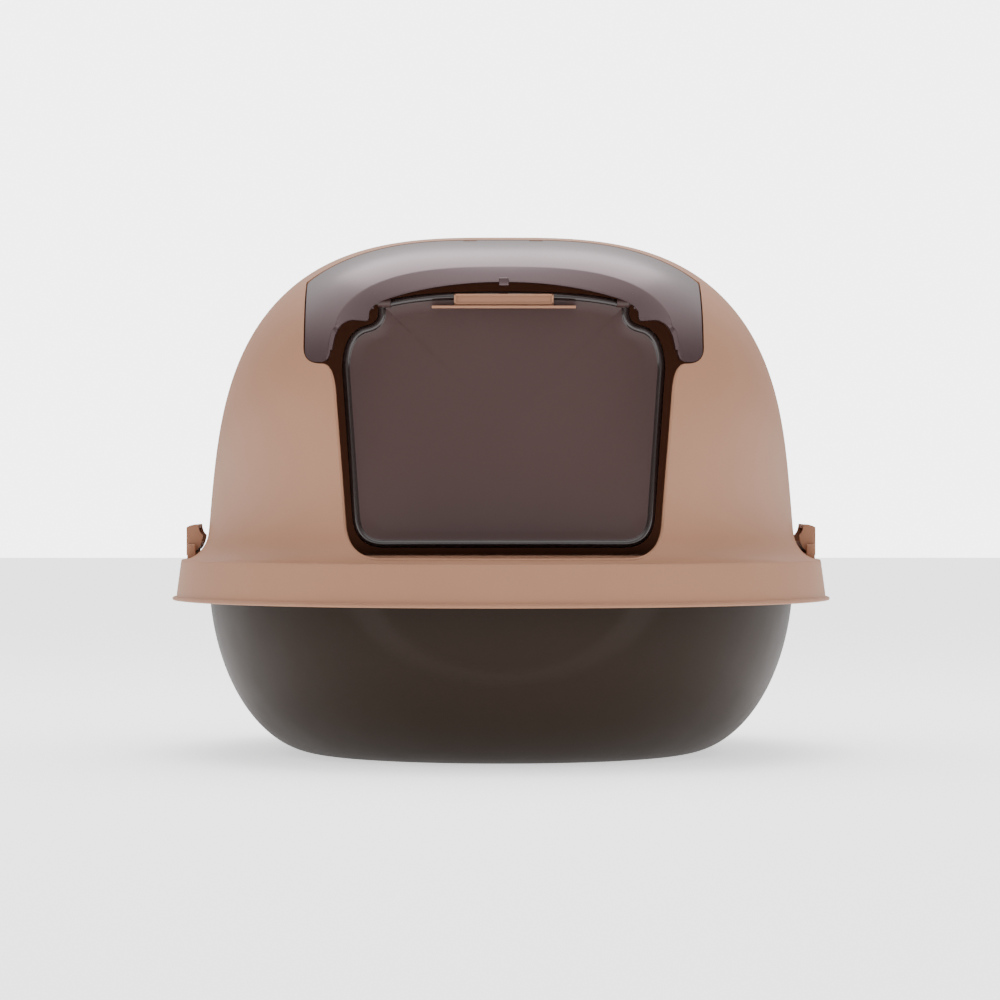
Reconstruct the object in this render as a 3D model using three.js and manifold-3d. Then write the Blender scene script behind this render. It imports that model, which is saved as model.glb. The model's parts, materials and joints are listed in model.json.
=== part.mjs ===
// Hooded cat litter box: tray, hood, flip-up visor, swing door, door lock and side latches.
// Millimetres, +Z up, the front faces -Y, and the origin is on the floor under the middle.
import * as THREE from 'three';
import { mergeVertices } from 'three/addons/utils/BufferGeometryUtils.js';
import Module from 'manifold-3d';

const wasm = await Module();
wasm.setup();

// ---- driving dimensions ----
const WALL = 3;
const RING_STEPS = 56;
const FRONT_STRETCH = 1.2;

const LIP = { half: 230, bottom: 106.5, top: 108.6 };
const SKIRT = { lowHalf: 227, topHalf: 223.7, topZ: 134.6 };
const FLARE = { rise: 21.4, steps: 4 };
const DOME_STEPS = { wall: 6, roof: 6, splitZ: 318 };
const TRAY_STEPS = 9;
const DOME = {
  half: 204.6,
  baseZ: 135,
  apexZ: 354.6,
  sideDraft: 0.08,
  frontDraft: 0.02,
  sidePower: 3.2,
  frontPower: 5,
};
const PLAN = { lowPower: 2.1, highPower: 3.6, growFromZ: 156, growToZ: 300 };

const TRAY = { baseHalf: 127.5, growth: 77, curveZ: 125, rimZ: 131, rimDepth: 2.6, rimHalf: 213.5 };
const BAY = { proud: 6, innerX: 87, outerX: 107, innerZ: 66, outerZ: 82 };

const OPENING = { sillZ: 136.7, sillHalf: 104, headHalf: 110.5, headZ: 258, cornerR: 24, lobeZ: 264.8 };
const VISOR = { half: 130, legZ: 265.6, gap: 1, cornerR: 9, flange: 2.4, flangeY: -203 };
const HINGE = { y: -160, barrelR: 4.1, barrelHalf: 60, lugR: 3.3, lugFrom: 18, lugTo: 26, pinR: 1.5, holeR: 1.8 };

const DOOR = { frontY: -212, thick: 2.5, rim: 4.2, bulge: 5, halfAt: 106, bottomZ: 144.7, topZ: 312.5 };
const DOOR_PIVOT = { y: -209.3, z: 305.4, pinR: 1.8, holeR: 2.1, barrelR: 4 };
const SLIDER = { barHalf: 32.5, barZ: 303.6, barTop: 311.2, ledgeHalf: 47, ledgeZ: 301, ledgeTop: 303.2 };
const STEM = { from: 14, to: 18, lowZ: 301.5, highZ: 304.5, travel: 5 };

const LATCH = { pivotX: 215.4, pivotZ: 142, pinR: 1.5, holeR: 1.8, half: 24, legHalf: 18, lugThick: 3.8 };
const FIT = 0.3;

// ---- solids from geometries, and back ----
function solid(geometry) {
  const bare = geometry.index ? geometry.toNonIndexed() : geometry.clone();
  bare.deleteAttribute('normal');
  bare.deleteAttribute('uv');
  const merged = mergeVertices(bare, 1e-4);
  return new wasm.Manifold(new wasm.Mesh({
    numProp: 3,
    vertProperties: new Float32Array(merged.attributes.position.array),
    triVerts: new Uint32Array(merged.index.array),
  }));
}

function joined(parts) {
  return parts.reduce((sum, part) => sum.add(part));
}

function geometryOf(manifold) {
  const mesh = manifold.getMesh();
  const geometry = new THREE.BufferGeometry();
  geometry.setAttribute('position', new THREE.BufferAttribute(mesh.vertProperties, 3));
  geometry.setIndex(new THREE.BufferAttribute(mesh.triVerts, 1));
  geometry.computeVertexNormals();
  return geometry;
}

function block(x0, x1, y0, y1, z0, z1) {
  const box = new THREE.BoxGeometry(x1 - x0, y1 - y0, z1 - z0);
  return solid(box.translate((x0 + x1) / 2, (y0 + y1) / 2, (z0 + z1) / 2));
}

function rodX(radius, x0, x1, y, z, sides = 16) {
  const rod = new THREE.CylinderGeometry(radius, radius, x1 - x0, sides);
  return solid(rod.rotateZ(Math.PI / 2).translate((x0 + x1) / 2, y, z));
}

function rodY(radius, y0, y1, x, z, sides = 16) {
  const rod = new THREE.CylinderGeometry(radius, radius, y1 - y0, sides);
  return solid(rod.translate(x, (y0 + y1) / 2, z));
}

// A shape drawn in X and Z, extruded along Y from y0 to y1.
function prism(shape, y0, y1, curveSegments = 5) {
  const body = new THREE.ExtrudeGeometry(shape, { depth: y1 - y0, bevelEnabled: false, curveSegments });
  return solid(body.rotateX(Math.PI / 2).translate(0, y1, 0));
}

function mirroredX(manifold) {
  return manifold.mirror([1, 0, 0]);
}

// ---- the dome and its rings ----
function sideHalf(z, inset = 0) {
  const t = Math.min((z - DOME.baseZ) / (DOME.apexZ - inset - DOME.baseZ), 1);
  const base = DOME.half - inset - DOME.sideDraft * (z - DOME.baseZ - 20);
  return base * Math.pow(1 - Math.pow(t, DOME.sidePower), 1 / DOME.sidePower);
}

function frontHalf(z, inset = 0) {
  const t = Math.min((z - DOME.baseZ) / (DOME.apexZ - inset - DOME.baseZ), 1);
  const base = DOME.half * FRONT_STRETCH - inset - DOME.frontDraft * (z - DOME.baseZ - 20);
  return base * Math.pow(1 - Math.pow(t, DOME.frontPower), 1 / DOME.frontPower);
}

function planPower(z) {
  const share = THREE.MathUtils.smoothstep(z, PLAN.growFromZ, PLAN.growToZ);
  return THREE.MathUtils.lerp(PLAN.lowPower, PLAN.highPower, share);
}

// Height of the dome's skin over a point of the roof, found by halving.
function roofZ(x, y) {
  let low = DOME.baseZ;
  let high = DOME.apexZ;
  for (let i = 0; i < 40; i += 1) {
    const z = (low + high) / 2;
    const power = planPower(z);
    const reach = Math.pow(Math.abs(x) / sideHalf(z), power) + Math.pow(Math.abs(y) / frontHalf(z), power);
    if (reach < 1) low = z;
    else high = z;
  }
  return low;
}

function ring(level) {
  const points = [];
  for (let i = 0; i < RING_STEPS; i += 1) {
    const angle = (i / RING_STEPS) * 2 * Math.PI;
    const c = Math.cos(angle);
    const s = Math.sin(angle);
    const x = level.a * Math.sign(c) * Math.pow(Math.abs(c), 2 / level.power);
    const y = level.b * Math.sign(s) * Math.pow(Math.abs(s), 2 / level.power);
    points.push(level.move ? level.move(x, y, level.z) : [x, y, level.z]);
  }
  return points;
}

// A closed solid through rings stacked from the bottom up.
function stacked(levels) {
  const rings = levels.map(ring);
  const vertices = [];
  const triangles = [];
  rings.forEach((points) => points.forEach((p) => vertices.push(...p)));
  for (let k = 0; k < rings.length - 1; k += 1) {
    for (let i = 0; i < RING_STEPS; i += 1) {
      const j = (i + 1) % RING_STEPS;
      const low = k * RING_STEPS;
      const high = low + RING_STEPS;
      triangles.push(low + i, low + j, high + j, low + i, high + j, high + i);
    }
  }
  const bottom = vertices.length / 3;
  vertices.push(0, 0, levels[0].z);
  const top = bottom + 1;
  vertices.push(0, 0, levels[levels.length - 1].z);
  const last = (rings.length - 1) * RING_STEPS;
  for (let i = 0; i < RING_STEPS; i += 1) {
    const j = (i + 1) % RING_STEPS;
    triangles.push(bottom, j, i, top, last + i, last + j);
  }
  const geometry = new THREE.BufferGeometry();
  geometry.setAttribute('position', new THREE.Float32BufferAttribute(vertices, 3));
  geometry.setIndex(triangles);
  return solid(geometry);
}

function skirtLevel(half, z) {
  return { z, a: half, b: half + DOME.half * (FRONT_STRETCH - 1), power: PLAN.lowPower };
}

function flareLevels(inset) {
  const levels = [];
  const first = inset === 0 ? 0 : Math.asin(inset / (SKIRT.topHalf - DOME.half + inset));
  for (let i = 0; i < FLARE.steps; i += 1) {
    const turn = first + (i / FLARE.steps) * (Math.PI / 2 - first);
    const half = SKIRT.topHalf - (SKIRT.topHalf - DOME.half + inset) * Math.sin(turn);
    const z = SKIRT.topZ + FLARE.rise - (FLARE.rise + inset) * Math.cos(turn);
    levels.push(skirtLevel(half, z));
  }
  return levels;
}

function domeLevels(inset) {
  const heights = [];
  const top = DOME.apexZ - inset;
  const start = SKIRT.topZ + FLARE.rise;
  const { wall, roof, splitZ } = DOME_STEPS;
  for (let i = 0; i <= wall; i += 1) heights.push(start + (splitZ - start) * (i / wall));
  for (let i = 1; i <= roof; i += 1) heights.push(top - (top - splitZ) * Math.pow(1 - i / roof, 2));
  return heights.map((z) => ({
    z,
    a: Math.max(sideHalf(z, inset), 3),
    b: Math.max(frontHalf(z, inset), 3.6),
    power: planPower(z),
  }));
}

const domeOuter = stacked([
  skirtLevel(LIP.half, LIP.bottom),
  skirtLevel(LIP.half, LIP.top),
  skirtLevel(SKIRT.lowHalf, LIP.top + 0.6),
  ...flareLevels(0),
  ...domeLevels(0),
]);
const domeInner = stacked([
  skirtLevel(SKIRT.lowHalf - WALL + 0.4, LIP.bottom - 6),
  ...flareLevels(WALL),
  ...domeLevels(WALL),
]);

// ---- outlines seen from the front ----
function openingShape() {
  const { sillZ, sillHalf, headHalf, headZ, cornerR, lobeZ } = OPENING;
  const lobe = VISOR.half + VISOR.gap;
  const shape = new THREE.Shape();
  shape.moveTo(-sillHalf + cornerR, sillZ);
  shape.lineTo(sillHalf - cornerR, sillZ);
  shape.quadraticCurveTo(sillHalf - 1, sillZ, sillHalf + 0.6, sillZ + cornerR);
  shape.lineTo(headHalf, headZ - 16);
  shape.quadraticCurveTo(headHalf + 1, lobeZ, headHalf + 8, lobeZ);
  shape.quadraticCurveTo(lobe, lobeZ, lobe, lobeZ + VISOR.cornerR + 2);
  shape.lineTo(lobe, DOME.apexZ + 10);
  shape.lineTo(-lobe, DOME.apexZ + 10);
  shape.lineTo(-lobe, lobeZ + VISOR.cornerR + 2);
  shape.quadraticCurveTo(-lobe, lobeZ, -headHalf - 8, lobeZ);
  shape.quadraticCurveTo(-headHalf - 1, lobeZ, -headHalf, headZ - 16);
  shape.lineTo(-sillHalf - 0.6, sillZ + cornerR);
  shape.quadraticCurveTo(-sillHalf + 1, sillZ, -sillHalf + cornerR, sillZ);
  return shape;
}

// The visor's inner edge: legs, shoulders, a step for each door pin, and the arch between them.
// A positive grow moves the edge outwards, into the visor.
function archPoints(grow) {
  const half = new THREE.Path();
  half.moveTo(113.5 + grow, 255);
  half.lineTo(113.5 + grow, 268);
  half.lineTo(111 + grow, 280);
  half.quadraticCurveTo(108.5 + grow, 294.5 + grow, 97, 295.8 + grow);
  half.lineTo(88.6 + grow, 296.5 + grow);
  half.lineTo(88 + grow, 302);
  half.quadraticCurveTo(86 + grow, 306 + grow, 78, 308.9 + grow);
  half.bezierCurveTo(55, 316.5 + grow, 28, 319.5 + grow, 0, 319.5 + grow);
  const right = half.getPoints(6);
  const left = right.slice(0, -1).reverse().map((p) => new THREE.Vector2(-p.x, p.y));
  return [...right, ...left];
}

function visorShape() {
  const { half, legZ, cornerR } = VISOR;
  const shape = new THREE.Shape();
  shape.moveTo(-half, DOME.apexZ + 10);
  shape.lineTo(-half, legZ + cornerR);
  shape.quadraticCurveTo(-half, legZ, -half + cornerR, legZ);
  shape.lineTo(half - cornerR, legZ);
  shape.quadraticCurveTo(half, legZ, half, legZ + cornerR);
  shape.lineTo(half, DOME.apexZ + 10);
  return shape;
}

function doorShape(inset) {
  const low = DOOR.bottomZ + inset;
  const w = DOOR.halfAt - inset;
  const neck = 82.4 - inset;
  const shape = new THREE.Shape();
  shape.moveTo(-78 + inset, low);
  shape.lineTo(78 - inset, low);
  shape.quadraticCurveTo(97.5 - inset, low, 99.3 - inset, low + 20 - inset);
  shape.lineTo(w, 262);
  shape.quadraticCurveTo(w - 0.5, 287 - inset, 90 - inset, 290.5 - inset);
  shape.quadraticCurveTo(neck, 292 - inset, neck, 298);
  shape.lineTo(neck, 304.5 - inset);
  shape.bezierCurveTo(62, DOOR.topZ - 1 - inset, 30, DOOR.topZ - inset, 0, DOOR.topZ - inset);
  shape.bezierCurveTo(-30, DOOR.topZ - inset, -62, DOOR.topZ - 1 - inset, -neck, 304.5 - inset);
  shape.lineTo(-neck, 298);
  shape.quadraticCurveTo(-neck, 292 - inset, -90 + inset, 290.5 - inset);
  shape.quadraticCurveTo(-w + 0.5, 287 - inset, -w, 262);
  shape.lineTo(-99.3 + inset, low + 20 - inset);
  shape.quadraticCurveTo(-97.5 + inset, low, -78 + inset, low);
  return shape;
}

// ---- tray ----
function trayHalf(z, inset) {
  const rise = Math.min((z - inset) / (TRAY.curveZ - inset), 1);
  return TRAY.baseHalf - inset + TRAY.growth * Math.sqrt(1 - Math.pow(1 - rise, 2));
}

// How far the front bay stands out of the tray's wall at one place.
function bayDepth(x, z) {
  const drop = TRAY.rimZ - z;
  const inner = Math.hypot(x / BAY.innerX, drop / BAY.innerZ);
  const outer = Math.hypot(x / BAY.outerX, drop / BAY.outerZ);
  if (outer >= 1) return 0;
  if (inner <= 1) return BAY.proud;
  return BAY.proud * (1 - outer) / (inner - outer);
}

function trayLevels(inset, heights) {
  return heights.map((z) => {
    const a = trayHalf(z, inset);
    const move = (x, y, height) => (y < 0 ? [x, y - bayDepth(x, height), height] : [x, y, height]);
    return { z, a, b: a * FRONT_STRETCH + inset * (FRONT_STRETCH - 1), power: PLAN.lowPower, move };
  });
}

function trayHeights(bottom, top) {
  const heights = [];
  for (let i = 0; i <= TRAY_STEPS; i += 1) {
    heights.push(bottom + (TRAY.curveZ - bottom) * Math.pow(i / TRAY_STEPS, 1.5));
  }
  heights.push(top);
  return heights;
}

function makeTray() {
  const outer = stacked(trayLevels(0, trayHeights(0, TRAY.rimZ)));
  const inner = stacked(trayLevels(WALL, trayHeights(WALL, TRAY.rimZ + 5)));
  const rim = stacked([
    skirtLevel(TRAY.rimHalf, TRAY.rimZ - TRAY.rimDepth),
    skirtLevel(TRAY.rimHalf, TRAY.rimZ),
  ]);
  return outer.add(rim).subtract(inner);
}

// ---- hood ----
const hingeZ = roofZ(HINGE.lugTo, HINGE.y) - HINGE.lugR - 0.3;
const rearEdgeY = HINGE.y + HINGE.barrelR;

function hingeLug() {
  const { lugFrom, lugTo, lugR, y } = HINGE;
  const web = block(lugFrom, lugTo, y, y + 13, hingeZ - lugR, hingeZ + 1.2);
  return rodX(lugR, lugFrom, lugTo, y, hingeZ).add(web.intersect(domeOuter));
}

function latchLugs() {
  const shape = new THREE.Shape();
  const x = LATCH.pivotX;
  shape.moveTo(x - 2.6, 136);
  shape.lineTo(x + 3.4, 134);
  shape.lineTo(x + 3.4, 143);
  shape.lineTo(x + 1.4, 145.4);
  shape.lineTo(x - 1.4, 145.4);
  shape.lineTo(x - 2.6, 143.4);
  const start = LATCH.half + 0.6;
  const lugs = [1, -1].map((side) => {
    const y0 = side > 0 ? start : -start - LATCH.lugThick;
    return prism(shape, y0, y0 + LATCH.lugThick);
  });
  const bore = rodY(LATCH.holeR, -start - 9, start + 9, x, LATCH.pivotZ);
  return joined(lugs).subtract(bore);
}

function makeHood() {
  const shell = domeOuter.subtract(domeInner);
  const cut = prism(openingShape(), -300, rearEdgeY + 0.6);
  const legHalf = LATCH.legHalf + 0.8;
  const slot = block(214.2, 219.2, -legHalf, legHalf, 126, 142);
  const lug = hingeLug();
  const sideLugs = latchLugs();
  const bore = rodX(HINGE.holeR, HINGE.lugFrom - 2, HINGE.lugTo + 2, HINGE.y, hingeZ);
  const hood = joined([shell.subtract(cut), lug, mirroredX(lug)]);
  const cuts = joined([slot, bore]);
  return joined([hood.subtract(cuts).subtract(mirroredX(cuts)), sideLugs, mirroredX(sideLugs)]);
}

// ---- visor ----
// Everything that may belong to the visor: in front of the hinge axis, below it, or inside its barrel.
function visorReach() {
  const half = VISOR.half + 10;
  const front = block(-half, half, -300, HINGE.y, 200, 400);
  const below = block(-half, half, HINGE.y - 1, rearEdgeY, 200, hingeZ);
  return joined([front, below, rodX(HINGE.barrelR, -half, half, HINGE.y, hingeZ, 32)]);
}

function makeVisor() {
  const { lugFrom, lugTo, barrelR, barrelHalf, y } = HINGE;
  const region = prism(visorShape(), -300, rearEdgeY);
  const aperture = prism(new THREE.Shape(archPoints(0)), -300, -150);
  const aroundArch = prism(new THREE.Shape(archPoints(VISOR.flange)), -300, VISOR.flangeY);
  const frame = aroundArch.intersect(block(-140, 140, -300, -150, VISOR.legZ, 340));
  const inside = domeOuter.intersect(region).intersect(visorReach());
  const skin = inside.subtract(domeInner);
  const flange = inside.intersect(frame).subtract(aperture);
  const barrel = rodX(barrelR, -barrelHalf, barrelHalf, y, hingeZ, 32).intersect(inside);
  const boss = block(84, 93, -219, -203, 299.5, 314).intersect(inside);
  const bossBore = rodX(DOOR_PIVOT.holeR, 83, 90.2, DOOR_PIVOT.y, DOOR_PIVOT.z);
  const ribs = [-218.1, -211.7].map((ribY) => block(-3.2, 3.2, ribY, ribY + 1.8, 315.1, 321));
  const lugRoom = joined([
    rodX(barrelR + 0.4, lugFrom - 0.5, lugTo + 0.5, y, hingeZ, 32),
    block(lugFrom - 0.5, lugTo + 0.5, y, y + 8, hingeZ - 12, hingeZ + 12),
  ]);
  const pinBore = rodX(HINGE.holeR, lugFrom - 9, lugTo + 9, y, hingeZ);
  const barrelRoom = rodX(DOOR_PIVOT.barrelR + 0.6, 72.4, 83.2, DOOR_PIVOT.y, DOOR_PIVOT.z);
  const solids = joined([skin.subtract(aperture), flange, barrel, boss, mirroredX(boss), ...ribs]);
  const cuts = joined([lugRoom, pinBore, bossBore, barrelRoom]);
  return solids.subtract(cuts).subtract(mirroredX(cuts));
}

// ---- swing door ----
function curvedSlab(front, back) {
  const steps = 12;
  const reach = 112;
  const bend = (x) => DOOR.bulge * Math.pow(x / DOOR.halfAt, 2);
  const xs = Array.from({ length: steps + 1 }, (_, i) => -reach + (2 * reach * i) / steps);
  const outline = [
    ...xs.map((x) => new THREE.Vector2(x, front + bend(x))),
    ...xs.reverse().map((x) => new THREE.Vector2(x, back + bend(x))),
  ];
  const slab = new THREE.ExtrudeGeometry(new THREE.Shape(outline), { depth: 200, bevelEnabled: false });
  return solid(slab.translate(0, 0, 130));
}

function makeDoor() {
  const { frontY, thick, rim } = DOOR;
  const outline = prism(doorShape(0), -240, -180);
  const middle = prism(doorShape(rim), -240, -180);
  const panel = curvedSlab(frontY, frontY + thick).intersect(outline);
  const bead = curvedSlab(frontY - 0.8, frontY + thick + 0.8).intersect(outline.subtract(middle));
  const barrel = rodX(DOOR_PIVOT.barrelR, 73, 82.4, DOOR_PIVOT.y, DOOR_PIVOT.z);
  const bore = rodX(DOOR_PIVOT.holeR, 76, 84, DOOR_PIVOT.y, DOOR_PIVOT.z);
  const slot = block(
    STEM.from - 0.5, STEM.to + 0.5,
    frontY - 5, frontY + 8,
    STEM.lowZ - 0.4, STEM.highZ + STEM.travel + 0.4,
  );
  const door = joined([panel, bead, barrel, mirroredX(barrel)]);
  return door.subtract(joined([bore, mirroredX(bore), slot, mirroredX(slot)]));
}

function makeLockSlider() {
  const face = DOOR.frontY - 1.2;
  const bar = block(-SLIDER.barHalf, SLIDER.barHalf, face - 2.8, face, SLIDER.barZ - 1, SLIDER.barTop);
  const ledge = block(-SLIDER.ledgeHalf, SLIDER.ledgeHalf, face - 6.8, face, SLIDER.ledgeZ, SLIDER.ledgeTop);
  const stem = block(STEM.from, STEM.to, face - 1, DOOR.frontY + 6, STEM.lowZ, STEM.highZ);
  return joined([bar, ledge, stem, mirroredX(stem)]);
}

function makeSliderKeeper() {
  const back = DOOR.frontY + DOOR.thick + 1.4;
  const plate = block(-23, 23, back, back + 1.8, 298.4, 306.8);
  const hole = block(STEM.from - FIT, STEM.to + FIT, back - 2, back + 4, STEM.lowZ - FIT, STEM.highZ + FIT);
  return plate.subtract(hole).subtract(mirroredX(hole));
}

// ---- side latch: thumb tab above the flare, leg through its slot, hook below the tray's rim ----
function makeLatch() {
  const cheek = new THREE.Shape();
  cheek.moveTo(219.5, 137.4);
  cheek.lineTo(219.5, 157);
  cheek.quadraticCurveTo(216, 159.2, 211.3, 159.2);
  cheek.quadraticCurveTo(211, 153.5, 208, 151.3);
  cheek.quadraticCurveTo(208.6, 146, 211, 142.4);
  cheek.lineTo(214.6, 139);
  const leg = new THREE.Shape();
  leg.moveTo(218.2, 141);
  leg.lineTo(216, 141);
  leg.lineTo(216, 127.1);
  leg.lineTo(214.1, 127.1);
  leg.lineTo(214.1, 125.6);
  leg.lineTo(216.6, 122.8);
  leg.lineTo(218.2, 122.8);
  const body = prism(cheek, -LATCH.half, LATCH.half);
  const scoop = block(205, 216.6, -LATCH.half + 3, LATCH.half - 3, 147, 162);
  const curl = block(211.6, 217, -LATCH.half + 2, LATCH.half - 2, 156.4, 158.2);
  const latch = joined([body.subtract(scoop), curl, prism(leg, -LATCH.legHalf, LATCH.legHalf)]);
  return latch.subtract(rodY(LATCH.holeR, -40, 40, LATCH.pivotX, LATCH.pivotZ));
}

// ---- materials ----
function plastic(color, roughness) {
  return new THREE.MeshStandardMaterial({ color, roughness, metalness: 0 });
}

const finishes = {
  beige: () => plastic(0xb79882, 0.5),
  tray: () => plastic(0x4a3f3a, 0.4),
  visor: () => plastic(0x6a5a58, 0.35),
  door: () => plastic(0x5d4944, 0.3),
  pin: () => plastic(0x5a4c48, 0.4),
};

const assembly = new THREE.Group();

function place(name, manifold, finish) {
  const mesh = new THREE.Mesh(geometryOf(manifold), finishes[finish]());
  mesh.name = name;
  assembly.add(mesh);
}

const latch = makeLatch();
const latchPin = rodY(LATCH.pinR, -LATCH.half - 4, LATCH.half + 4, LATCH.pivotX, LATCH.pivotZ);
const doorPin = rodX(DOOR_PIVOT.pinR, 76.6, 89.8, DOOR_PIVOT.y, DOOR_PIVOT.z);
const hingePin = rodX(HINGE.pinR, HINGE.lugFrom - 8, HINGE.lugTo + 8, HINGE.y, hingeZ);

place('tray', makeTray(), 'tray');
place('hood', makeHood(), 'beige');
place('visor', makeVisor(), 'visor');
place('swing_door', makeDoor(), 'door');
place('door_lock_slider', makeLockSlider(), 'beige');
place('slider_keeper', makeSliderKeeper(), 'beige');
[['right', (part) => part], ['left', mirroredX]].forEach(([side, turned]) => {
  place(`side_latch_${side}`, turned(latch), 'beige');
  place(`latch_pin_${side}`, turned(latchPin), 'beige');
  place(`door_pin_${side}`, turned(doorPin), 'pin');
  place(`visor_hinge_pin_${side}`, turned(hingePin), 'pin');
});

export default assembly;
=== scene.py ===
import json
import math

import bmesh
import bpy
import numpy as np
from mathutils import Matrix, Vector


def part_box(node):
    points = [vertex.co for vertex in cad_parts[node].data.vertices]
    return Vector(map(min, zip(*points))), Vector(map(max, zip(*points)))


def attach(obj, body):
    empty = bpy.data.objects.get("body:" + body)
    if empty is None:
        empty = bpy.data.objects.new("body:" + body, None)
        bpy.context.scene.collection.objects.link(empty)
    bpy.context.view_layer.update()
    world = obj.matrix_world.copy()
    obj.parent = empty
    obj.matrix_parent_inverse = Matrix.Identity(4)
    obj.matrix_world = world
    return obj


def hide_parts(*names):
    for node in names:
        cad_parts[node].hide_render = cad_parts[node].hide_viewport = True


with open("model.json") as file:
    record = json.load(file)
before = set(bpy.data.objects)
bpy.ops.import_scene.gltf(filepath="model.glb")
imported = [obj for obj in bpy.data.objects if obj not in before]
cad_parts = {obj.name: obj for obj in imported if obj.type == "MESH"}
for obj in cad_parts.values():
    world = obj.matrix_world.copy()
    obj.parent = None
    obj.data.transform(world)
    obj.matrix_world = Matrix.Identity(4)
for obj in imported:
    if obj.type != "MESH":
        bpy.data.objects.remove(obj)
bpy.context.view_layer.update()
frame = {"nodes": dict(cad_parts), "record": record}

MM = 0.001

# ---- driving dimensions, in millimetres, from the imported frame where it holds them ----
hood_low, hood_high = [np.array(c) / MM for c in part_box("hood")]
tray_high = np.array(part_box("tray")[1]) / MM
visor_low, visor_high = [np.array(c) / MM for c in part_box("visor")]
door_low, door_high = [np.array(c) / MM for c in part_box("swing_door")]
joints = {j["name"]: j for j in frame["record"]["behaviour"]["joints"]}
door_axis = np.array(joints["door_swing"]["pos_m"]) / MM
flip_axis = np.array(joints["visor_flip"]["pos_m"]) / MM

WALL = 3.0
APEX = hood_high[2]
SIDE_DRAFT, FRONT_DRAFT = 0.08, 0.02
SIDE_POWER, FRONT_POWER = 3.2, 5.0
PLAN_LOW, PLAN_HIGH, PLAN_TOP_Z = 2.1, 3.6, 300
ROOF_SPLIT_Z = 318
LIP_HALF, LIP_Z = hood_high[0], hood_low[2]
DOME_HALF, DOME_Z = 204.6, 135.0
STRETCH = 1.2
CREASE_HALF, CREASE_Z, FLARE_RISE = 223.7, 134.6, 21.4
FLARE_TOP = CREASE_Z + FLARE_RISE
EXTRA = DOME_HALF * (STRETCH - 1)
VISOR_HALF, LEG_Z = visor_high[0], visor_low[2]
HINGE_Y, HINGE_Z = flip_axis[1:]
VISOR_REAR = HINGE_Y + 1.4
HOOD_EDGE = HINGE_Y + 4.7
HOOD_GAP = 1.0
LUG_FROM, LUG_TO, LUG_GAP = 18, 26, 0.5
FLANGE_Y = -203.0
SILL_Z = 136.7
VISOR_WALL = 2.6
SKIN_CENTRE_Y, SKIN_CENTRE_Z = -95.0, 230.0
TRAY_BASE_HALF, TRAY_GROWTH, TRAY_CURVE_Z = 127.5, 77, 125
BAY_PROUD, BAY_FACE, BAY_FOOT = 6, (87, 66), (107, 76)
DOOR_FRONT, DOOR_THICK, DOOR_BULGE = -212.0, 2.5, 5
BARREL_FROM, BARREL_TO, BARREL_ROOM = 74, 82.4, (72.4, 84.5)
SLIDER_FACE, SLIDER_HALF = -213.2, 32.5


# ---- the dome's formula, shared by the hood and the visor ----
def side_half(z, inset=0.0):
    z = np.asarray(z, float)
    t = np.clip((z - DOME_Z) / (APEX - inset - DOME_Z), 0, 1)
    dome = (DOME_HALF - inset - SIDE_DRAFT * (z - DOME_Z - 20)) * (1 - t**SIDE_POWER) ** (1 / SIDE_POWER)
    return np.where(z < FLARE_TOP, flare_half(z, inset), dome)


def front_half(z, inset=0.0):
    z = np.asarray(z, float)
    t = np.clip((z - DOME_Z) / (APEX - inset - DOME_Z), 0, 1)
    straight = DOME_HALF * STRETCH - inset - FRONT_DRAFT * (z - DOME_Z - 20)
    dome = straight * (1 - t**FRONT_POWER) ** (1 / FRONT_POWER)
    return np.where(z < FLARE_TOP, flare_half(z, inset) + EXTRA, dome)


def flare_half(z, inset):
    drop = np.clip((FLARE_TOP - z) / (FLARE_RISE + inset), 0, 1)
    return CREASE_HALF - (CREASE_HALF - DOME_HALF + inset) * np.sqrt(1 - drop**2)


def plan_power(z):
    share = np.clip((np.asarray(z, float) - FLARE_TOP) / (PLAN_TOP_Z - FLARE_TOP), 0, 1)
    return PLAN_LOW + (PLAN_HIGH - PLAN_LOW) * share**2 * (3 - 2 * share)


def front_y(x, z, inset=0.0):
    """Y of the hood's front skin at x and z."""
    p = plan_power(z)
    ratio = np.clip(np.abs(x) / side_half(z, inset), 0, 1)
    return -front_half(z, inset) * (1 - ratio**p) ** (1 / p)


def roof_z(x, y, inset=0.0):
    """Height of the hood's roof skin over x and y."""
    x, y = np.broadcast_arrays(np.asarray(x, float), np.asarray(y, float))
    low, high = np.full(x.shape, DOME_Z), np.full(x.shape, APEX - inset - 1e-6)
    for _ in range(40):
        z = (low + high) / 2
        p = plan_power(z)
        reach = (np.abs(x) / side_half(z, inset)) ** p + (np.abs(y) / front_half(z, inset)) ** p
        low, high = np.where(reach < 1, z, low), np.where(reach < 1, high, z)
    return low


def skin(x, turn, inset=0.0):
    """Point of the dome at x, in the direction turn above the horizon from a line inside the roof."""
    x, turn = np.broadcast_arrays(np.asarray(x, float), np.asarray(turn, float))
    near, far = np.zeros(x.shape), np.full(x.shape, 400.0)
    for _ in range(44):
        r = (near + far) / 2
        y, z = SKIN_CENTRE_Y - r * np.cos(turn), SKIN_CENTRE_Z + r * np.sin(turn)
        p = plan_power(z)
        a, b = side_half(np.minimum(z, APEX - 0.01), inset), front_half(np.minimum(z, APEX - 0.01), inset)
        inside = ((np.abs(x) / a) ** p + (np.abs(y) / b) ** p < 1) & (z < APEX - inset)
        near, far = np.where(inside, r, near), np.where(inside, far, r)
    return np.stack([x, SKIN_CENTRE_Y - near * np.cos(turn), SKIN_CENTRE_Z + near * np.sin(turn)], -1)


def turn_of(y, z):
    """Direction of a point, as skin() takes it."""
    return np.arctan2(z - SKIN_CENTRE_Z, SKIN_CENTRE_Y - y)


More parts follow.
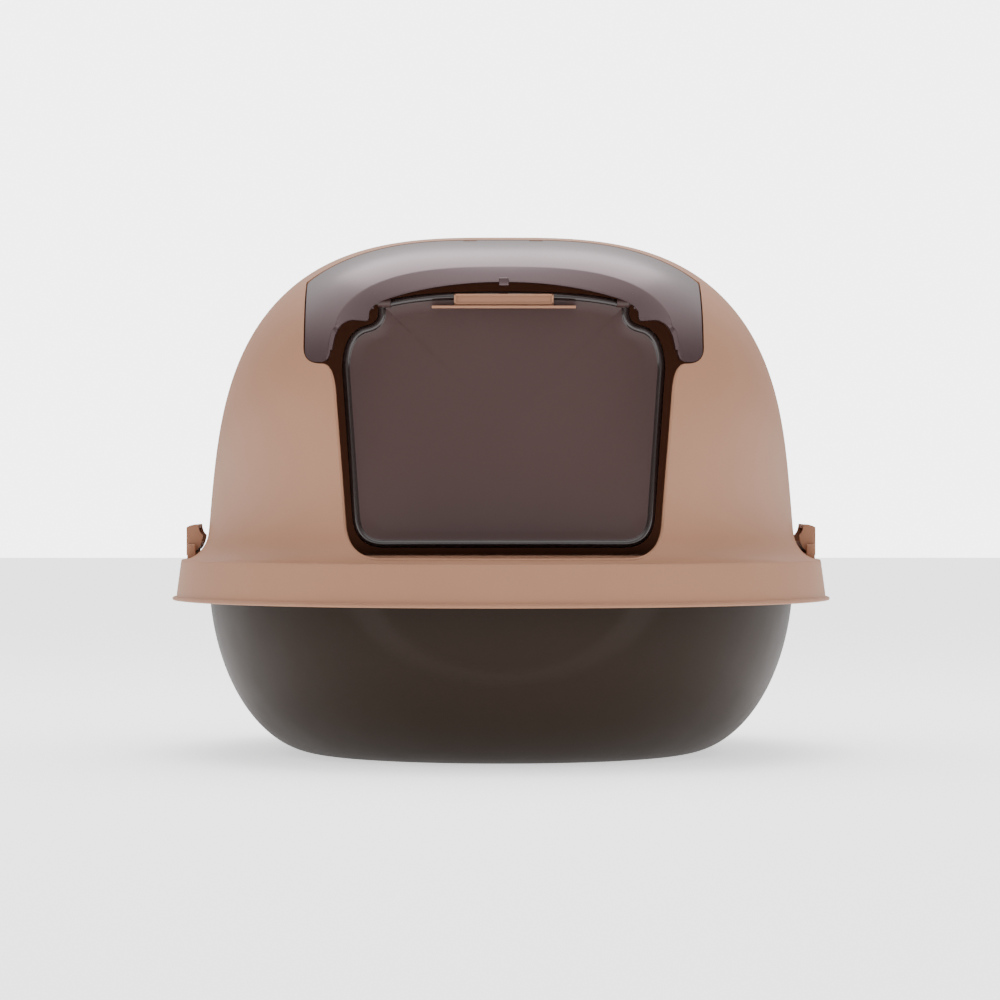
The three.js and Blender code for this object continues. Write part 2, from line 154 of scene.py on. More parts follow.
# ---- mesh helpers ----
def mesh_object(name, points, faces, body, node, material, smooth_angle=38):
    mesh = bpy.data.meshes.new(name)
    mesh.from_pydata((np.asarray(points) * MM).tolist(), [], [list(map(int, f)) for f in faces])
    mesh.validate()
    obj = bpy.data.objects.new(name, mesh)
    bpy.context.scene.collection.objects.link(obj)
    dress(obj, material, smooth_angle)
    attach(obj, body)
    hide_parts(node)
    return obj


def dress(obj, material, smooth_angle=38):
    mesh = obj.data
    mesh.materials.clear()
    mesh.materials.append(material)
    mesh.shade_smooth()
    mesh.set_sharp_from_angle(angle=math.radians(smooth_angle))


def flip_to_outside(points, faces):
    """Turns every face round if the closed mesh encloses a negative volume."""
    p = np.asarray(points)
    volume = sum(np.dot(p[f[0]], np.cross(p[f[1]], p[f[2]])) for f in faces[:: max(1, len(faces) // 4000)])
    return faces if volume > 0 else [f[::-1] for f in faces]


def loft(rings, closed_profile=False):
    """Quads between rings of equal length. An end ring of one point closes to a fan."""
    points, starts = [], []
    for ring in rings:
        starts.append(len(points))
        points.extend(ring)
    faces = []
    pairs = list(zip(range(len(rings) - 1), range(1, len(rings))))
    if closed_profile:
        pairs.append((len(rings) - 1, 0))
    for k, m in pairs:
        n, o = len(rings[k]), len(rings[m])
        count = max(n, o)
        for i in range(count):
            j = (i + 1) % count
            low = [starts[k] + i % n, starts[k] + j % n]
            high = [starts[m] + j % o, starts[m] + i % o]
            face = low[:1] + high if n == 1 else (low + high[:1] if o == 1 else low + high)
            faces.append(face)
    return points, faces


def plan_ring(a, b, z, power, segments, move=None):
    angle = np.linspace(0, 2 * math.pi, segments, endpoint=False)
    c, s = np.cos(angle), np.sin(angle)
    r = ((np.abs(c) / a) ** power + (np.abs(s) / b) ** power) ** (-1 / power)
    ring = np.stack([r * c, r * s, np.full(segments, z)], -1)
    return move(ring) if move else ring


def tube(path, radius, sides=10):
    """Closed loop of tube along a closed path."""
    path = np.asarray(path)
    ahead = np.roll(path, -1, 0) - np.roll(path, 1, 0)
    ahead /= np.linalg.norm(ahead, axis=1)[:, None]
    side = np.cross(ahead[0], [0, 0.3, 1.0])
    rings = []
    for point, t in zip(path, ahead):
        side = side - t * np.dot(side, t)
        side /= np.linalg.norm(side)
        up = np.cross(t, side)
        ring = [point + radius * (side * math.cos(w) + up * math.sin(w))
                for w in np.linspace(0, 2 * math.pi, sides, endpoint=False)]
        rings.append(ring)
    return loft(rings, closed_profile=True)


def smooth_path(path, spacing):
    """Evenly spaced points along an open polyline."""
    path = np.asarray(path, float)
    run = np.concatenate([[0], np.cumsum(np.linalg.norm(np.diff(path, axis=0), axis=1))])
    count = max(2, int(run[-1] / spacing) + 1)
    at = np.linspace(0, run[-1], count)
    return np.stack([np.interp(at, run, path[:, k]) for k in range(path.shape[1])], -1)


def bezier(*control, steps=16):
    """Points of a Bezier curve with three or four control points, without its first."""
    control = np.asarray(control, float)
    t = np.linspace(0, 1, steps + 1)[1:, None]
    if len(control) == 3:
        return (1 - t) ** 2 * control[0] + 2 * t * (1 - t) * control[1] + t**2 * control[2]
    a, b, c, d = control
    return (1 - t) ** 3 * a + 3 * t * (1 - t) ** 2 * b + 3 * t**2 * (1 - t) * c + t**3 * d


def mirrored(half):
    """A right half outline followed by its mirror image."""
    half = np.asarray(half)
    left = half[::-1] * np.array([-1, 1])
    return np.vstack([half, left[1:] if abs(half[-1][0]) < 1e-6 else left])


def joined_rounded(name, boxes, rods, body, node, material, bevel=0.5):
    """One piece made of rounded blocks and round bosses: boxes are (low, high), rods (x0, x1, y, z, r)."""
    bm = bmesh.new()
    for low, high in boxes:
        low, high = np.array(low, float), np.array(high, float)
        made = bmesh.ops.create_cube(bm, size=1.0)["verts"]
        for v in made:
            v.co = Vector((low + high) / 2 + np.array(v.co) * (high - low))
    for x0, x1, y, z, r in rods:
        cone = bmesh.ops.create_cone(bm, cap_ends=True, segments=28, radius1=r, radius2=r, depth=x1 - x0)
        for v in cone["verts"]:
            v.co = Vector(((x0 + x1) / 2 + v.co.z, y + v.co.x, z + v.co.y))
    edges = [e for e in bm.edges if e.calc_face_angle(0) > math.radians(40)]
    bmesh.ops.bevel(bm, geom=edges, offset=bevel, segments=3, profile=0.5, affect="EDGES", clamp_overlap=True)
    bmesh.ops.recalc_face_normals(bm, faces=bm.faces)
    bmesh.ops.scale(bm, vec=(MM, MM, MM), verts=bm.verts)
    mesh = bpy.data.meshes.new(name)
    bm.to_mesh(mesh)
    bm.free()
    obj = bpy.data.objects.new(name, mesh)
    bpy.context.scene.collection.objects.link(obj)
    dress(obj, material)
    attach(obj, body)
    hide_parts(node)
    return obj


# ---- materials ----
def plastic(name, rgb, roughness, coat, grain, mottling=0.05, specular=0.5, tint=(1, 1, 1)):
    """Moulded plastic: faint colour drift, uneven gloss and a fine moulded grain."""
    material = bpy.data.materials.new(name)
    material.use_nodes = True
    nodes, links = material.node_tree.nodes, material.node_tree.links
    shader = nodes["Principled BSDF"]
    shader.inputs["Coat Weight"].default_value = coat
    shader.inputs["Coat Roughness"].default_value = 0.25
    shader.inputs["Specular IOR Level"].default_value = specular
    shader.inputs["Specular Tint"].default_value = (*tint, 1)
    place = nodes.new("ShaderNodeTexCoord")

    def noise(scale, detail):
        node = nodes.new("ShaderNodeTexNoise")
        node.inputs["Scale"].default_value = scale
        node.inputs["Detail"].default_value = detail
        links.new(place.outputs["Object"], node.inputs["Vector"])
        return node.outputs["Fac"]

    ramp = nodes.new("ShaderNodeValToRGB")
    ramp.color_ramp.elements[0].position = 0.3
    ramp.color_ramp.elements[1].position = 0.7
    ramp.color_ramp.elements[0].color = (*[c * (1 - mottling) for c in rgb], 1)
    ramp.color_ramp.elements[1].color = (*[c * (1 + mottling) for c in rgb], 1)
    links.new(noise(7, 4), ramp.inputs["Fac"])
    links.new(ramp.outputs["Color"], shader.inputs["Base Color"])
    gloss = nodes.new("ShaderNodeMapRange")
    gloss.inputs["To Min"].default_value = roughness - 0.05
    gloss.inputs["To Max"].default_value = roughness + 0.05
    links.new(noise(26, 5), gloss.inputs["Value"])
    links.new(gloss.outputs["Result"], shader.inputs["Roughness"])
    bump = nodes.new("ShaderNodeBump")
    bump.inputs["Strength"].default_value = grain
    bump.inputs["Distance"].default_value = 0.0003
    links.new(noise(1400, 2), bump.inputs["Height"])
    links.new(bump.outputs["Normal"], shader.inputs["Normal"])
    return material


BEIGE = plastic("beige_plastic", (0.29, 0.15, 0.093), 0.5, 0.0, 0.12, 0.05, 0.12)
TRAY_BROWN = plastic("tray_plastic", (0.02, 0.0125, 0.0085), 0.5, 0.0, 0.1, 0.05, 0.08)
VISOR_BROWN = plastic("visor_plastic", (0.03, 0.0165, 0.0165), 0.3, 0.0, 0.06, 0.05, 0.75,
                      (1, 0.78, 0.83))
DOOR_SMOKE = plastic("door_plastic", (0.041, 0.0195, 0.0175), 0.34, 0.0, 0.04, 0.05, 0.28)
# The door's rolled edge is the door's own plastic. Its darker colour is painted shade standing for the dark
# reflection of the glossy curve.
DOOR_EDGE_PAINTED_SHADE = plastic("door_edge_painted_shade", (0.016, 0.009, 0.008), 0.12, 0.3, 0.0, 0.05, 0.4)
PIN_BROWN = plastic("pin_plastic", (0.07, 0.05, 0.045), 0.4, 0.0, 0.08)


# ---- outlines seen from the front, as (x, z) ----
def opening_front(grow=0.0):
    """Lower edge of the hood's opening from the right lobe's side round to the left one."""
    lobe = VISOR_HALF + HOOD_GAP + grow
    top = LEG_Z - 0.8 - grow
    half = [np.array([[lobe, top + 11]])]
    half.append(bezier((lobe, top + 11), (lobe, top), (118.5, top)))
    half.append(bezier((118.5, top), (111.5, top), (110.5, 242)))
    half.append(bezier((110.5, 242), (107.5, 202), (104.6, 160.7), steps=10))
    half.append(bezier((104.6, 160.7), (103, SILL_Z), (80, SILL_Z), steps=20))
    half.append(np.array([[0, SILL_Z]]))
    return mirrored(np.vstack(half))


def arch_edge():
    """The visor's inner edge from the right leg's foot to the middle of the arch."""
    parts = [
        np.array([[113.5, LEG_Z], [113.3, 268], [111, 280]]),
        bezier((111, 280), (108.5, 294.5), (97, 295.8)),
        np.array([[90, 296.4]]),
        bezier((90, 296.4), (88.2, 296.6), (88.1, 298.4), steps=5),
        np.array([[88, 301.5]]),
        bezier((88, 301.5), (86, 306), (78, 308.9), steps=8),
        bezier((78, 308.9), (55, 316.5), (28, 319.5), (0, 319.5), steps=24),
    ]
    return np.vstack(parts)


def door_edge():
    w, neck, low, top = door_high[0], BARREL_TO, door_low[2], door_high[2]
    parts = [
        np.array([[0, low], [78, low]]),
        bezier((78, low), (97.5, low), (99.3, low + 20)),
        np.array([[w, 262]]),
        bezier((w, 262), (w - 0.5, 287), (90, 290.5)),
        bezier((90, 290.5), (neck, 292), (neck, 298), steps=8),
        np.array([[neck, 303]]),
        bezier((neck, 303), (neck - 1, 306), (76, 307), steps=6),
        bezier((76, 307), (56, top - 0.6), (28, top), (0, top), steps=20),
    ]
    return np.vstack(parts)


# ---- tray ----
def tray_half(z, inset):
    rise = np.clip((z - inset) / (TRAY_CURVE_Z - inset), 0, 1)
    return TRAY_BASE_HALF - inset + TRAY_GROWTH * np.sqrt(1 - (1 - rise) ** 2)


def bay(ring):
    """Moves the front of a ring out by the raised bay, whose lower edge is a chamfer."""
    drop = tray_high[2] - ring[:, 2]
    inner = np.hypot(ring[:, 0] / BAY_FACE[0], drop / BAY_FACE[1])
    outer = np.hypot(ring[:, 0] / BAY_FOOT[0], drop / BAY_FOOT[1])
    share = np.clip((1 - outer) / np.maximum(inner - outer, 1e-6), 0, 1)
    share = np.where(inner <= 1, 1.0, np.where(outer >= 1, 0.0, share))
    out = ring.copy()
    out[:, 1] -= np.where(ring[:, 1] < 0, BAY_PROUD * share, 0)
    return out


def make_tray():
    segments = 400
    rim_z, rim_half = tray_high[2], tray_high[0]
    base = [(float(h), 0.0) for h in np.linspace(20, 124, 6)]
    grow = np.linspace(0, 1, 60)[1:] ** 1.7
    outer = [(float(tray_half(TRAY_CURVE_Z * g, 0)), TRAY_CURVE_Z * float(g)) for g in grow]
    rim = [
        (204.5, rim_z - 3.2), (205.6, rim_z - 2.6), (rim_half - 1, rim_z - 2.6),
        (rim_half - 0.2, rim_z - 2.2), (rim_half, rim_z - 1.3), (rim_half - 0.2, rim_z - 0.4),
        (rim_half - 1, rim_z), (203.5, rim_z), (202, rim_z - 0.6), (201.5, rim_z - 2),
    ]
    inner = [(float(tray_half(3 + 122 * g, WALL)), 3 + 122 * float(g)) for g in grow[::-1]]
    floor = [(float(h), 3.0) for h in np.linspace(121, 20, 6)]
    rings = [[(0, 0, 0)]]
    for half, z in base + outer + rim + inner + floor:
        inside = (half, z) in inner or (half, z) in floor
        long_half = half * STRETCH + (WALL * (STRETCH - 1) if inside else 0)
        rings.append(plan_ring(half, long_half, z, PLAN_LOW, segments, bay))
    rings.append([(0, 0, 3.0)])
    points, faces = loft(rings)
    faces = flip_to_outside(points, faces)
    mesh_object("tray_shell", points, faces, "tray", "tray", TRAY_BROWN)


# ---- hood ----
def hood_profile(inset):
    """(half width, half length, height, plan power) from the lip's edge up to just under the apex."""
    rows = []
    if inset == 0:
        lip = [(LIP_HALF - 1.6, 0), (LIP_HALF - 0.4, 0.15), (LIP_HALF, 0.8), (LIP_HALF - 0.1, 1.6),
               (LIP_HALF - 0.8, 2.1), (LIP_HALF - 2.4, 2.35), (LIP_HALF - 3.0, 3.0)]
        rows += [(h, LIP_Z + dz) for h, dz in lip]
        rows += [(h, z) for h, z in zip(np.linspace(226.8, 223.95, 10), np.linspace(112, 133, 10))]
        rows += [(223.75, 134.0), (223.3, 134.55)]
        start = 0.05
    else:
        rows += [(h, z) for h, z in zip(np.linspace(224.2, 221, 10), np.linspace(LIP_Z, 131, 10))]
        start = 0.16
    for turn in np.linspace(start, math.pi / 2, 20)[:-1]:
        half = CREASE_HALF - (CREASE_HALF - DOME_HALF + inset) * math.sin(turn)
        rows.append((half, FLARE_TOP - (FLARE_RISE + inset) * math.cos(turn)))
    profile = [(h, h + EXTRA, z, PLAN_LOW) for h, z in rows]
    top = APEX - inset
    heights = list(np.linspace(FLARE_TOP, ROOF_SPLIT_Z, 44))
    heights += list(top - (top - ROOF_SPLIT_Z) * (1 - np.linspace(0, 1, 40)[1:-1]) ** 2)
    for z in heights:
        halves = float(side_half(z, inset)), float(front_half(z, inset))
        profile.append((*halves, float(z), float(plan_power(z))))
    return profile


def cutter(name, points, faces):
    mesh = bpy.data.meshes.new(name)
    faces = [list(map(int, f)) for f in flip_to_outside(points, faces)]
    mesh.from_pydata((np.asarray(points) * MM).tolist(), [], faces)
    obj = bpy.data.objects.new(name, mesh)
    bpy.context.scene.collection.objects.link(obj)
    return obj


def prism(outline, y0, y1):
    n = len(outline)
    points = [(x, y0, z) for x, z in outline] + [(x, y1, z) for x, z in outline]
    faces = [list(range(n)), list(range(2 * n - 1, n - 1, -1))]
    faces += [[i, i + n, (i + 1) % n + n, (i + 1) % n] for i in range(n)]
    return points, faces


def cut(obj, tool):
    modifier = obj.modifiers.new("cut", "BOOLEAN")
    modifier.operation = "DIFFERENCE"
    modifier.solver = "MANIFOLD"
    modifier.object = tool
    depsgraph = bpy.context.evaluated_depsgraph_get()
    result = bpy.data.meshes.new_from_object(obj.evaluated_get(depsgraph))
    obj.modifiers.clear()
    obj.data = result
    bpy.data.objects.remove(tool)


def rect(x0, x1, z0, z1):
    return [(x0, z0), (x1, z0), (x1, z1), (x0, z1)]


def opening_loop(inset):
    """The whole edge of the hood's opening in space: front, sides and the edge across the roof."""
    edge_y = HOOD_EDGE + 1.4
    front = smooth_path(opening_front(1.3), 1.6)
    low = np.stack([front[:, 0], front_y(front[:, 0], front[:, 1], inset), front[:, 1]], -1)
    lobe = VISOR_HALF + HOOD_GAP + 1.3
    corner_z = float(roof_z(lobe, edge_y, inset))
    rise = np.linspace(front[0, 1], corner_z, 50)[1:]
    side = np.stack([np.full(49, lobe), front_y(lobe, rise, inset), rise], -1)
    across = np.linspace(-lobe, lobe, 170)[1:-1]
    roof = np.stack([across, np.full(168, edge_y), roof_z(across, edge_y, inset)], -1)
    left = side * np.array([-1, 1, 1])
    return np.vstack([low, left, roof, side[::-1]])


def make_hood():
    segments = 360
    outer = [plan_ring(a, b, z, p, segments) for a, b, z, p in hood_profile(0)]
    inner = [plan_ring(a, b, z, p, segments) for a, b, z, p in hood_profile(WALL)]
    rings = outer + [[(0, 0, APEX)]]
    points, faces = loft(rings)
    inside_points, inside_faces = loft(inner + [[(0, 0, APEX - WALL)]])
    shift = len(points)
    points = list(points) + list(inside_points)
    faces = faces + [[i + shift for i in f][::-1] for f in inside_faces]
    faces += [[(i + 1) % segments, i, shift + i, shift + (i + 1) % segments] for i in range(segments)]
    faces = flip_to_outside(points, faces)
    hood = mesh_object("hood_shell", points, faces, "hood", "hood", BEIGE)
    lobe = VISOR_HALF + HOOD_GAP
    outline = np.vstack([opening_front(), [[-lobe, APEX + 10], [lobe, APEX + 10]]])
    cut(hood, cutter("cut_opening", *prism(outline, -300, HOOD_EDGE)))
    for side in (1, -1):
        leg = sorted((side * 214.2, side * 219.2))
        cut(hood, cutter("cut_slot", *prism(rect(*leg, 126, 142), -18.8, 18.8)))
    dress(hood, BEIGE)
    bead_points, bead_faces = tube(opening_loop(WALL / 2), WALL / 2 + 0.12)
    mesh_object("hood_opening_edge", bead_points, flip_to_outside(bead_points, bead_faces),
                "hood", "hood", BEIGE, 60)
    lugs, webs = [], []
    for side in (1, -1):
        x0, x1 = sorted((side * LUG_FROM, side * LUG_TO))
        lugs.append((x0, x1, HINGE_Y, HINGE_Z, 2.8))
        webs.append(((x0, HINGE_Y, HINGE_Z - 3.3), (x1, HINGE_Y + 13, HINGE_Z - 0.6)))
    joined_rounded("hood_hinge_lugs", webs, lugs, "hood", "hood", BEIGE, 0.3)
    posts = []
    for side in (1, -1):
        for y0 in (24.6, -28.4):
            x0, x1 = sorted((side * 212.8, side * 218.8))
            posts.append(((x0, y0, 134.2), (x1, y0 + 3.8, 145.2)))
    joined_rounded("hood_latch_posts", posts, [], "hood", "hood", BEIGE, 0.8)


# ---- visor ----
def crease_of(x):
    """Height of the crease between the visor's crown and its chamfer, by distance from the middle."""
    return 287 + 41.8 * (1 - np.clip(np.abs(x) / 110, 0, 1) ** 2.7) ** 0.5


def crease_distance(x, z):
    """Distance in front view from points to the whole crease."""
    top = np.linspace(-109.9, 109.9, 500)
    curve = np.stack([top, crease_of(top)], -1)
    leg = np.linspace(287, LEG_Z - 20, 20)
    for side in (1, -1):
        curve = np.vstack([curve, np.stack([np.full(20, side * 112.0) + side * (289 - leg) * 0.2, leg], -1)])
    gap = np.hypot(x[..., None] - curve[:, 0], z[..., None] - curve[:, 1])
    return gap.min(axis=-1)


def leg_crease(z):
    """X of the crease beside the right leg and shoulder at height z."""
    top = np.linspace(109.9, 106, 12)
    heights = np.concatenate([[LEG_Z - 20, 287], crease_of(top)])
    return np.interp(z, heights, np.concatenate([[112 + (309 - LEG_Z) * 0.2, 112.4], top]))


def visor_grid():
    """Rows of points from the flange's inner end, over the chamfer and the crown, to the outer edge."""
    inner = smooth_path(arch_edge(), 1.3)
    count = len(inner)
    shoulder = int(np.argmin(np.hypot(inner[:, 0] - 97, inner[:, 1] - 295.8)))
    corner_turn = turn_of(VISOR_REAR, roof_z(VISOR_HALF - 8, VISOR_REAR))
    up = np.linspace(0, 1, shoulder + 1)
    leg_turn = turn_of(front_y(VISOR_HALF, LEG_Z), LEG_Z)
    side_x = VISOR_HALF - 9 * np.clip((up - 0.9) / 0.1, 0, 1) ** 2.2
    side_turn = leg_turn + (corner_turn - leg_turn) * up
    along = np.linspace(0, 1, count - shoulder)[1:]
    rear_x = (VISOR_HALF - 9) * (1 - along)
    rear_turn = turn_of(VISOR_REAR, roof_z(rear_x, VISOR_REAR))
    outer_x = np.concatenate([side_x, rear_x])
    outer_turn = np.concatenate([side_turn, rear_turn])
    inner_turn = turn_of(front_y(inner[:, 0], inner[:, 1]), inner[:, 1])

    # the crease lies between the two edges, and runs out down the leg
    leg = np.arange(count) < shoulder
    rise = np.clip(np.arange(count) / shoulder, 0, 1)
    run = np.clip((np.arange(count) - shoulder) / (count - 1 - shoulder), 0, 1)
    leg_z = LEG_Z + rise * (crease_of(106) - LEG_Z)
    crease_x = np.where(leg, leg_crease(leg_z), 106 * (1 - run))
    crease_z = np.where(leg, leg_z, crease_of(crease_x))
    crease_turn = turn_of(front_y(crease_x, crease_z), crease_z)

    rows = []
    chamfer_steps, crown_steps = 8, 34
    for t in [*np.linspace(0, 1, chamfer_steps + 1)[:-1], 0.95]:
        x = inner[:, 0] + (crease_x - inner[:, 0]) * t
        turn = inner_turn + (crease_turn - inner_turn) * t
        top, under = skin(x, turn), skin(x, turn, 1.0)
        inward = under - top
        inward /= np.linalg.norm(inward, axis=1)[:, None]
        slope = 0.2 + 0.32 * np.clip(np.abs(top[:, 0]) / 90, 0, 1) ** 2
        depth = slope * crease_distance(top[:, 0], top[:, 2])
        rows.append(top + inward * depth[:, None])
    for t in [0.0, 0.012, *np.linspace(0, 1, crown_steps + 1)[1:]]:
        x = crease_x + (outer_x - crease_x) * t
        turn = crease_turn + (outer_turn - crease_turn) * t
        rows.append(skin(x, turn))
    first = rows[0]
    flange = []
    for k in range(5):
        row = first.copy()
        row[:, 1] = FLANGE_Y + (first[:, 1] - FLANGE_Y) * (k / 5)
        flange.append(row)
    return np.array(flange + rows)


def foot_waste(side):
    """Outline of what is cut away to round one leg's foot."""
    z = LEG_Z + 0.3
    inner = bezier((113.2, z + 8), (113.6, z), (119.5, z), steps=10)
    outer = bezier((121, z), (130.3, z), (130.5, z + 10), steps=14)
    start = [[108, z + 8], [113.2, z + 8]]
    below = [[138, z + 10], [138, z - 9], [108, z - 9]]
    outline = np.vstack([start, inner, [[121, z]], outer, below])
    return outline if side > 0 else (outline * np.array([-1, 1]))[::-1]


def make_visor():
    right = visor_grid()
    left = right[:, ::-1][:, 1:] * np.array([-1, 1, 1])
    grid = np.concatenate([right, left], axis=1)
    rows, columns = grid.shape[:2]
    points = grid.reshape(-1, 3)
    faces = []
    for i in range(rows - 1):
        for j in range(columns - 1):
            a = i * columns + j
            faces.append([a, a + 1, a + 1 + columns, a + columns])
    middle = grid[rows // 2, columns // 2]
    b = grid[rows // 2 + 1, columns // 2] - middle
    a = grid[rows // 2, columns // 2 + 1] - middle
    if np.cross(a, b)[2] < 0:
        faces = [f[::-1] for f in faces]
    visor = mesh_object("visor_shell", points, faces, "visor", "visor", VISOR_BROWN, 55)
    thick = visor.modifiers.new("thickness", "SOLIDIFY")
    thick.thickness = VISOR_WALL * MM
    thick.offset = -1
    edge = visor.modifiers.new("edge", "BEVEL")
    edge.width = 0.9 * MM
    edge.segments = 3
    edge.limit_method = "ANGLE"
    edge.angle_limit = math.radians(50)
    for side in (1, -1):
        cut(visor, cutter("cut_foot", *prism(foot_waste(side), -300, -100)))
        x0, x1 = sorted((side * (LUG_FROM - LUG_GAP), side * (LUG_TO + LUG_GAP)))
        room = prism(rect(x0, x1, HINGE_Z - 5, HINGE_Z + 2.9), HINGE_Y - 4.4, HINGE_Y + 6)
        cut(visor, cutter("cut_lug_room", *room))
        slit = prism(rect(x0, x1, HINGE_Z - 5, HINGE_Z + 6), HINGE_Y - 0.5, HINGE_Y + 6)
        cut(visor, cutter("cut_lug_slit", *slit))
        x0, x1 = sorted((side * BARREL_ROOM[0], side * BARREL_ROOM[1]))
        cut(visor, cutter("cut_barrel_room", *prism(rect(x0, x1, 294, 310.8), -214, -196)))
    dress(visor, VISOR_BROWN, 50)
    boxes, rods = [], [(LUG_GAP - LUG_FROM, LUG_FROM - LUG_GAP, HINGE_Y, HINGE_Z, 3.0)]
    for side in (1, -1):
        x0, x1 = sorted((side * (LUG_TO + LUG_GAP), side * 45))
        rods.append((x0, x1, HINGE_Y, HINGE_Z, 3.0))
        x0, x1 = sorted((side * 85, side * 92))
        boxes.append(((x0, -209, 301), (x1, -204, 310)))
    for rib_y in (-218, -211.7):
        boxes.append(((-3.2, rib_y, 316), (3.2, rib_y + 1.8, 321)))
    joined_rounded("visor_fittings", boxes, rods, "visor", "visor", VISOR_BROWN, 0.5)


# ---- swing door ----
def make_door():
    outline = smooth_path(mirrored(door_edge()), 1.6)[:-1]
    centre = np.array([0, 226.0])
    ahead = np.roll(outline, -1, 0) - np.roll(outline, 1, 0)
    normal = np.stack([ahead[:, 1], -ahead[:, 0]], -1)
    normal /= np.linalg.norm(normal, axis=1)[:, None]

    def ring(inset, y, share=1.0):
        edge = outline - normal * inset
        flat = centre + (edge - centre) * share
        bend = DOOR_BULGE * (flat[:, 0] / door_high[0]) ** 2
        return np.stack([flat[:, 0], y + bend, flat[:, 1]], -1)

    # section of the rolled edge, from the panel's front round to its back
    bead = [
        (5.2, 0.0), (5.0, -0.1), (4.6, -0.7), (4.0, -1.3), (3.0, -1.6), (1.8, -1.3), (0.7, -0.5), (0.1, 0.4),
        (0.0, 1.25), (0.1, 2.2), (0.5, 2.8), (1.2, 3.2), (3.4, 3.3), (4.2, 2.7), (4.6, 2.5),
    ]
    shares = np.linspace(0.08, 1, 12)
    back = DOOR_FRONT + DOOR_THICK
    rings = [[(0, DOOR_FRONT, centre[1])]]
    rings += [ring(5.2, DOOR_FRONT, s) for s in shares[:-1]]
    rings += [ring(inset, DOOR_FRONT + dy) for inset, dy in bead]
    rings += [ring(4.6, back, s) for s in shares[:-1][::-1]]
    rings.append([(0, back, centre[1])])
    points, faces = loft(rings)
    panel = mesh_object("door_panel", points, flip_to_outside(points, faces), "door", "swing_door",
                        DOOR_SMOKE, 50)
    panel.data.materials.append(DOOR_EDGE_PAINTED_SHADE)
    count = len(outline)
    # faces of the rolled edge take the darker copy of the door plastic, as painted shade
    for face in panel.data.polygons[count * len(shares):count * (len(shares) + len(bead))]:
        face.material_index = 1
    y, z = door_axis[1:]
    rods = [(BARREL_FROM, BARREL_TO, y, z, 3.6), (-BARREL_TO, -BARREL_FROM, y, z, 3.6)]
    joined_rounded("door_barrels", [], rods, "door", "swing_door", DOOR_SMOKE, 0.4)


# ---- lock slider: a bar with a raised rim round a shallow groove, over a thin ledge ----
def make_slider():
    low, high = [np.array(c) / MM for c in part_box("door_lock_slider")]
    face, half, top = SLIDER_FACE, SLIDER_HALF, high[2] - 0.6
    bar_low = low[2] + 2.6
    boxes = [
        ((-half, face - 1.9, bar_low - 1), (half, face, top)),
        ((-half, face - 3.0, top - 1.3), (half, face - 1, top)),
        ((-half, face - 3.0, bar_low), (half, face - 1, bar_low + 1.3)),
        ((-half, face - 3.0, bar_low), (-half + 1.4, face - 1, top)),
        ((half - 1.4, face - 3.0, bar_low), (half, face - 1, top)),
        ((low[0], face - 5.6, low[2] + 0.2), (high[0], face, low[2] + 1.8)),
    ]
    for x0, x1 in ((14, 18), (-18, -14)):
        boxes.append(((x0, face - 1, 301.5), (x1, -206, 304.5)))
    joined_rounded("lock_slider_bar", boxes, [], "lock", "door_lock_slider", BEIGE, 0.35)


# ---- small CAD pieces that stay, with rounded edges ----
def finish_cad_pieces():
    for name, node in frame["nodes"].items():
        if node.hide_render:
            continue
        material = PIN_BROWN if "pin" in name else BEIGE
        dress(node, material, 32)
        edge = node.modifiers.new("edge", "BEVEL")
        edge.width = 0.35 * MM
        edge.segments = 3
        edge.limit_method = "ANGLE"
        edge.angle_limit = math.radians(40)


# ---- stage, camera and light ----
def make_stage():
    bpy.ops.mesh.primitive_plane_add(size=14, location=(0, 3, 0))
    floor = bpy.context.object
    floor.name = "floor"
    material = bpy.data.materials.new("floor")
    material.use_nodes = True
    shader = material.node_tree.nodes["Principled BSDF"]
    shader.inputs["Base Color"].default_value = (0.9, 0.9, 0.9, 1)
    shader.inputs["Roughness"].default_value = 0.8
    shader.inputs["Emission Color"].default_value = (1, 1, 1, 1)
    shader.inputs["Emission Strength"].default_value = 1.0
    floor.data.materials.append(material)


def area_light(name, place, target, size, power, tint=(1, 1, 1)):
    data = bpy.data.lights.new(name, "AREA")
    data.shape = "RECTANGLE"
    data.size, data.size_y = size
    data.energy = power
    data.color = tint
    lamp = bpy.data.objects.new(name, data)
    lamp.location = place
    lamp.rotation_euler = (Vector(target) - Vector(place)).to_track_quat("-Z", "Y").to_euler()
    bpy.context.scene.collection.objects.link(lamp)


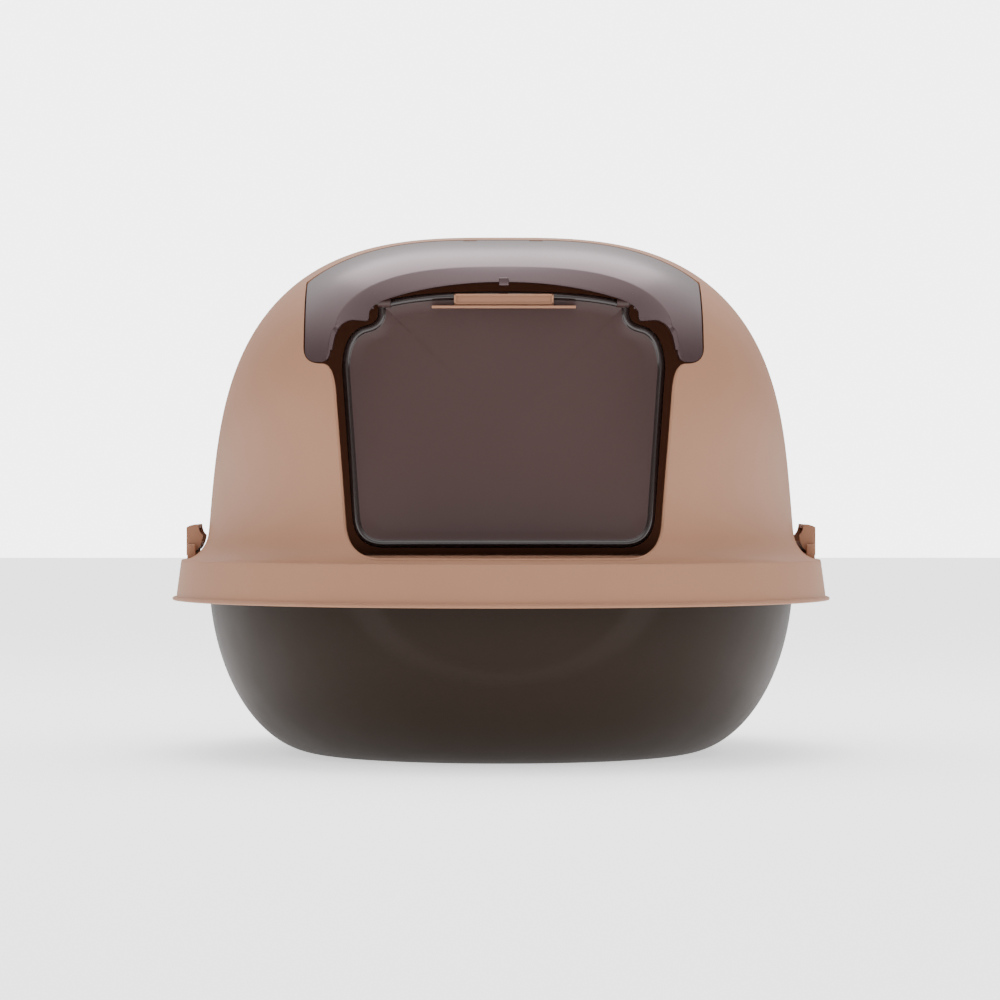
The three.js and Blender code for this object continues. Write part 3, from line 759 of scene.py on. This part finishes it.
def make_light():
    """A bright studio: white behind and overhead, dimmer on the viewer's side."""
    world = bpy.data.worlds.new("studio")
    bpy.context.scene.world = world
    world.use_nodes = True
    nodes, links = world.node_tree.nodes, world.node_tree.links
    direction = nodes.new("ShaderNodeSeparateXYZ")
    links.new(nodes.new("ShaderNodeTexCoord").outputs["Generated"], direction.inputs["Vector"])

    def share(output, low, high, value):
        part = nodes.new("ShaderNodeMapRange")
        part.interpolation_type = "SMOOTHSTEP"
        for name, setting in (("From Min", low), ("From Max", high), ("To Min", 0), ("To Max", value)):
            part.inputs[name].default_value = setting
        links.new(direction.outputs[output], part.inputs["Value"])
        return part.outputs["Result"]

    def total(a, b):
        node = nodes.new("ShaderNodeMath")
        node.operation = "ADD"
        links.new(a, node.inputs[0])
        if isinstance(b, float):
            node.inputs[1].default_value = b
        else:
            links.new(b, node.inputs[1])
        return node.outputs["Value"]

    around = total(total(share("Y", 0.0, 0.9, 0.4), share("Z", 0.2, 1.0, 2.6)), 0.3)
    seen = nodes.new("ShaderNodeMix")
    links.new(nodes.new("ShaderNodeLightPath").outputs["Is Camera Ray"], seen.inputs["Factor"])
    links.new(around, seen.inputs["A"])
    seen.inputs["B"].default_value = 5.0
    background = nodes["Background"]
    background.inputs["Color"].default_value = (1, 1, 1, 1)
    links.new(seen.outputs["Result"], background.inputs["Strength"])
    area_light("top", (0, 0.5, 1.7), (0, 0, 0.2), (1.6, 1.2), 26, (1, 0.93, 0.95))
    area_light("front", (0.0, -2.4, 0.9), (0, 0, 0.2), (1.8, 1.2), 5.5)
    area_light("inside", (0, -0.1, 0.22), (0, 0.3, 0.2), (0.2, 0.12), 0.15, (1, 0.76, 0.72))


def make_camera():
    """Long lens, level, at the height of the tray's and hood's middle, half a degree to the left."""
    data = bpy.data.cameras.new("camera")
    data.sensor_width = 36
    data.lens = 153.54
    data.clip_end = 50
    camera = bpy.data.objects.new("camera", data)
    camera.location = (-0.027, -3.0, 0.176)
    camera.rotation_euler = (math.radians(90), 0, math.radians(-0.504))
    bpy.context.scene.collection.objects.link(camera)
    bpy.context.scene.camera = camera


make_camera()
make_light()
make_stage()
make_tray()
make_hood()
make_visor()
make_door()
make_slider()
finish_cad_pieces()
